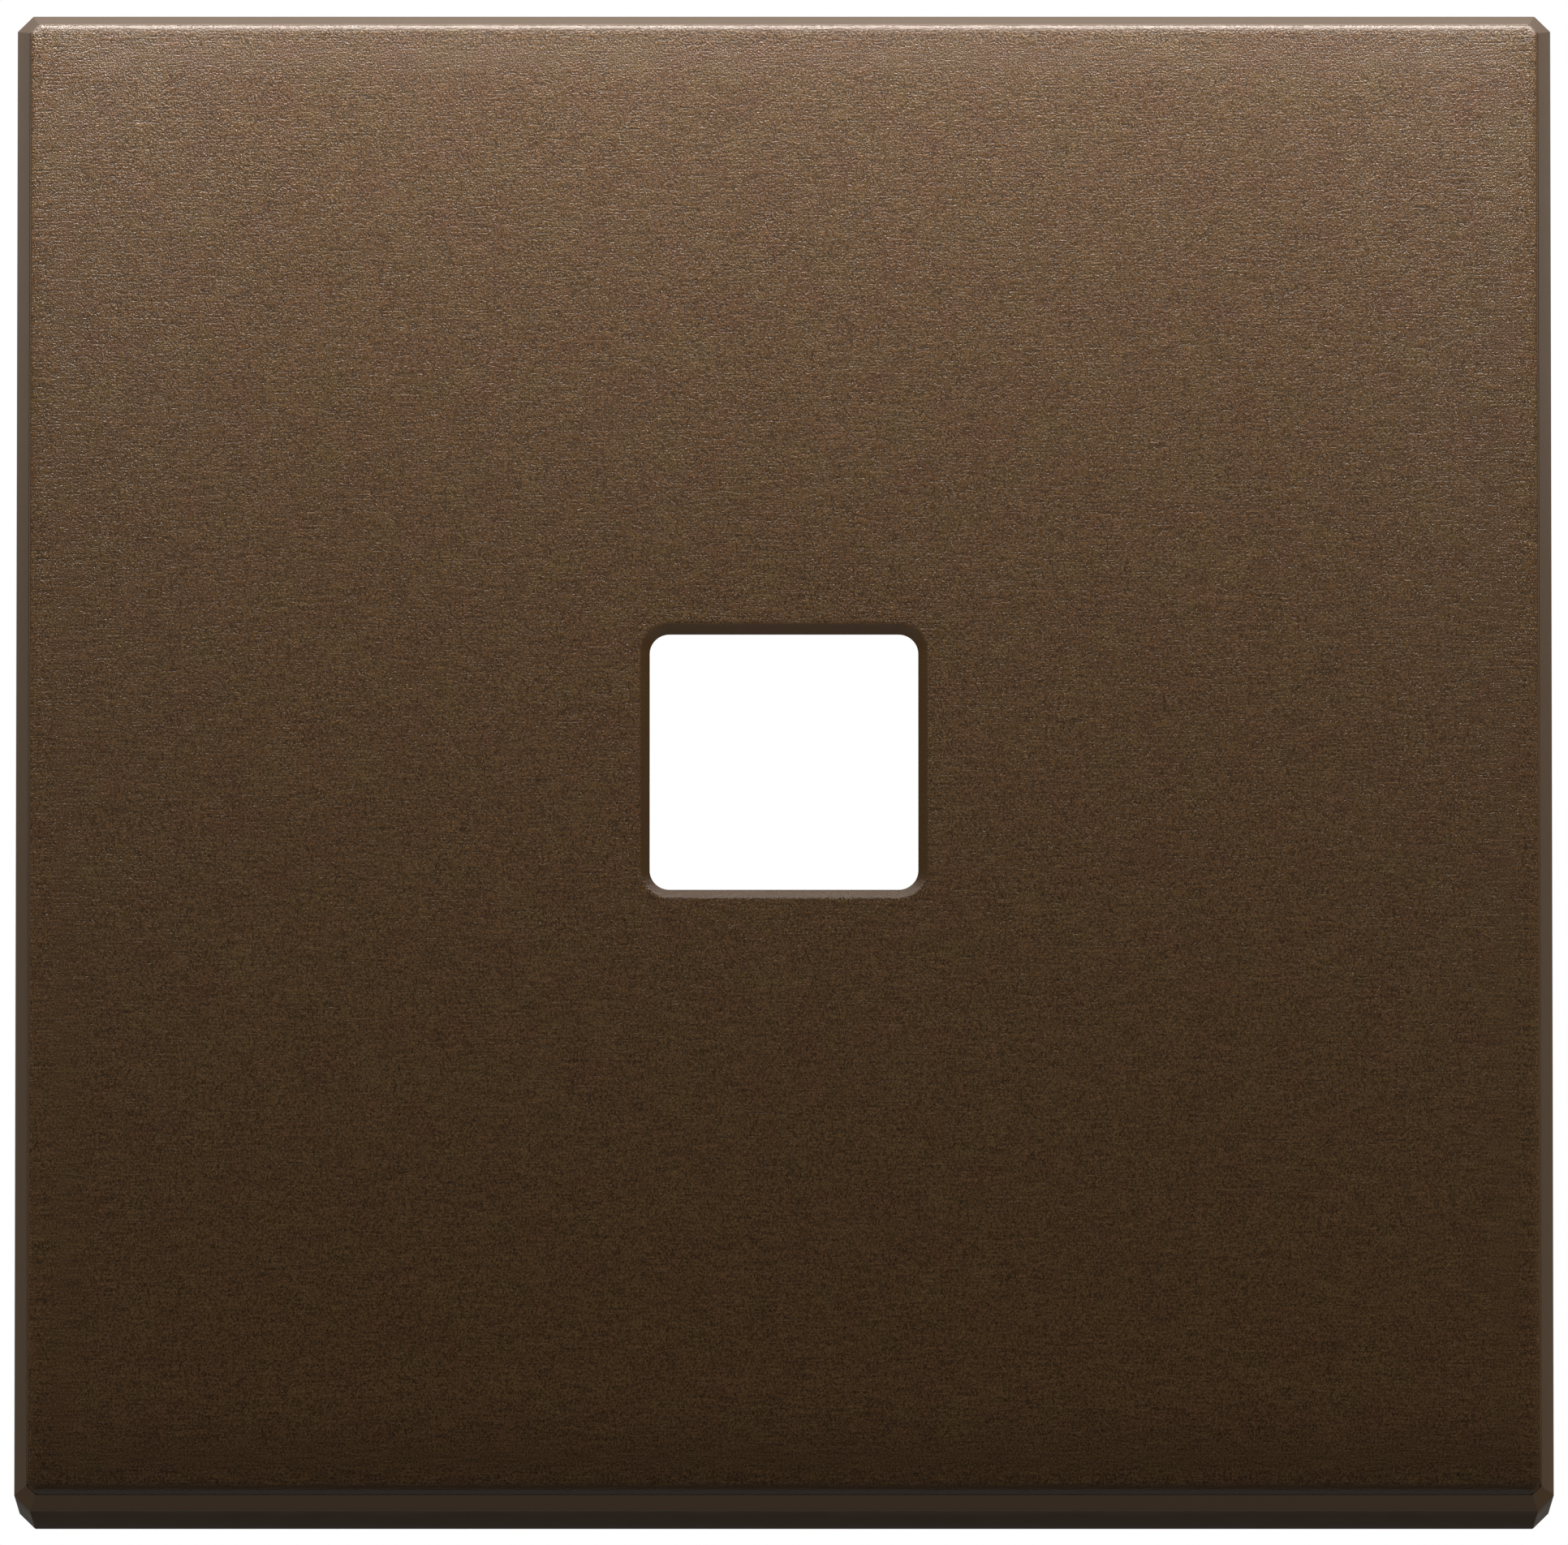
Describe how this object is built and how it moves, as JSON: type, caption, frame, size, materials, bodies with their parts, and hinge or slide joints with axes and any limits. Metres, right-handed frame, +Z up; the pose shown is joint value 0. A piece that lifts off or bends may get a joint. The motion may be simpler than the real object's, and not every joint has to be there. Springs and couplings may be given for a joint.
{
  "type": "wall insert cover plate",
  "caption": "Square bevelled cover plate in brushed bronze for a flush wall insert, with a small plug opening, an inner clip frame and sprung guide legs",
  "frame": {"origin": "centre of the square cover, on the plane of its rear rim, where it bears on the wall frame", "axes": "+X right as seen from the front, +Y into the wall, +Z up; the face looks along -Y"},
  "size_m": [0.07, 0.0152, 0.07],
  "materials": {
    "brushed_bronze": "bronze anodised, finely sanded and brushed across",
    "adhesive_film": "matt",
    "lacquered_bronze": "smooth bronze metallic lacquer, satin",
    "moulded_black": "fine moulded texture",
    "spring_steel": "rolled bright strip"
  },
  "bodies": {
    "root": {"face_plate": "brushed_bronze", "face_adhesive": "adhesive_film", "cover_shell": "lacquered_bronze", "clip_frame": "moulded_black", "retaining_spring_upper_left": "spring_steel", "retaining_spring_upper_right": "spring_steel", "retaining_spring_lower_left": "spring_steel", "retaining_spring_lower_right": "spring_steel"}
  },
  "joints": []
}
